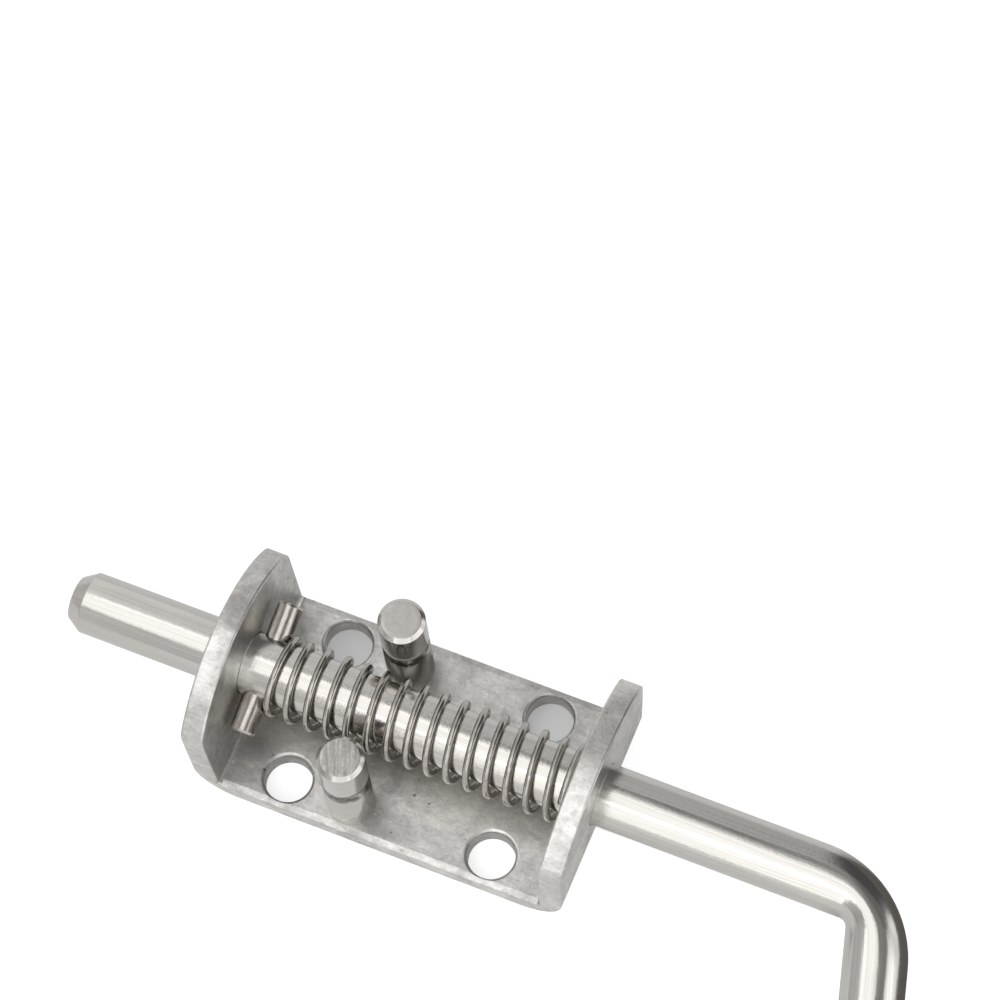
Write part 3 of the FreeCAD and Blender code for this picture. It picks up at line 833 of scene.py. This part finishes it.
def pale_floor(stage, finish):
    """Pale paper that glows white to the camera and a little in mirrors.

    Painted shade greys it under the two rear screw holes, and beyond the bend mirrors see it in
    the grime colour and glowing less, a painted dark reflection.
    """
    material, tree = new_material("pale_floor")
    paths = add_node(tree, "LightPath").outputs
    mirrored = add_node(tree, "Math", {0: paths["Is Glossy Ray"], 1: paths["Is Transmission Ray"]},
                        operation="MAXIMUM")
    place = add_node(tree, "TexCoord").outputs["Object"]
    spot = add_node(tree, "SeparateXYZ", {"Vector": place}).outputs
    # Painted dark reflection: beyond the handle's bend, mirrors see the floor in the grime colour
    # and glowing less.
    beyond = mirrored
    for value, (start, end) in ((spot["X"], FAR_FLOOR_X), (spot["Y"], FAR_FLOOR_Y)):
        reach = add_node(tree, "MapRange", {"Value": value, "From Min": start, "From Max": end})
        beyond = add_node(tree, "Math", {0: beyond, 1: reach}, operation="MULTIPLY")
    paint = add_node(tree, "Mix", {0: beyond, 6: finish.floor[:], 7: finish.grime_and_painted_shade[:]},
                     data_type="RGBA")
    # Painted shade: under the two rear screw holes the floor glows less to the camera, so it shows
    # grey.
    aside = add_node(tree, "Math", {0: spot["X"]}, operation="ABSOLUTE")
    shaded = add_node(tree, "Math", {0: spot["Y"], 1: 0.0}, operation="GREATER_THAN")
    shaded = held_below(tree, shaded, [(aside, REAR_HOLES_X), (spot["Y"], REAR_HOLES_Y)])
    paper = blend_values(tree, [(shaded, stage.shaded_glow - stage.floor_glow),
                                (1.0, stage.floor_glow)])
    seen = add_node(tree, "Math", {0: paths["Is Camera Ray"], 1: paper}, operation="MULTIPLY")
    glow = blend_values(tree, [(seen, 1.0), (mirrored, stage.mirror_glow),
                               (beyond, stage.far_glow - stage.mirror_glow)])
    end_material(tree, {"Base Color": paint, "Roughness": 0.9,
                        "Emission Color": (1, 1, 1, 1), "Emission Strength": glow})
    return material


def add_floor(stage, finish):
    """A flat floor just under the bracket."""
    bm = bmesh.new()
    bmesh.ops.create_grid(bm, x_segments=1, y_segments=1, size=stage.floor_size / 2)
    bmesh.ops.translate(bm, verts=bm.verts, vec=(0, 0, -stage.floor_drop))
    mesh = bpy.data.meshes.new("studio_floor")
    bm.to_mesh(mesh)
    bm.free()
    mesh.materials.append(pale_floor(stage, finish))
    floor = bpy.data.objects.new("studio_floor", mesh)
    bpy.context.scene.collection.objects.link(floor)


class LATCH_OT_stage(bpy.types.Operator):
    """Sets the pale floor, soft studio lamps and the camera"""

    bl_idname = "latch.stage"
    bl_label = "Set Stage"

    def execute(self, context):
        scene = context.scene
        stage = scene.latch_stage
        scene.view_settings.view_transform = "Standard"
        add_camera(stage)
        add_floor(stage, scene.latch_finish)
        scene.world = studio_world()
        add_softbox("overhead_softbox", stage.softbox_place, stage.softbox_target,
                    stage.softbox_size, stage.softbox_radiance)
        add_softbox("front_panel", stage.panel_place, stage.panel_target,
                    stage.panel_size, stage.panel_radiance)
        return {"FINISHED"}


class LATCH_PT_panel(bpy.types.Panel):
    """Sidebar panel of the gate latch"""

    bl_idname = "LATCH_PT_panel"
    bl_label = "Gate Latch"
    bl_space_type = "VIEW_3D"
    bl_region_type = "UI"
    bl_category = "Gate Latch"

    def draw(self, context):
        for step in STEPS:
            self.layout.operator(step.bl_idname)
        for group in SETTINGS:
            settings = getattr(context.scene, group)
            box = self.layout.box()
            for key in settings.bl_rna.properties.keys():
                if key not in ("rna_type", "name"):
                    box.prop(settings, key)


SETTINGS = {
    "latch_bar": BarSettings,
    "latch_spring": SpringSettings,
    "latch_post": PostSettings,
    "latch_finish": FinishSettings,
    "latch_stage": StageSettings,
}
STEPS = (LATCH_OT_bracket, LATCH_OT_bar, LATCH_OT_pin, LATCH_OT_posts, LATCH_OT_spring,
         LATCH_OT_stage)


def register():
    for name, group in SETTINGS.items():
        bpy.utils.register_class(group)
        setattr(bpy.types.Scene, name, PointerProperty(type=group))
    for item in STEPS + (LATCH_PT_panel,):
        bpy.utils.register_class(item)


def unregister():
    for item in reversed(STEPS + (LATCH_PT_panel,)):
        bpy.utils.unregister_class(item)
    for name, group in SETTINGS.items():
        delattr(bpy.types.Scene, name)
        bpy.utils.unregister_class(group)


def main():
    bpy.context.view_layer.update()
    register()
    bpy.ops.latch.bracket()
    bpy.ops.latch.bar()
    bpy.ops.latch.pin()
    bpy.ops.latch.posts()
    bpy.ops.latch.spring()
    bpy.ops.latch.stage()


if __name__ == "__main__":
    main()
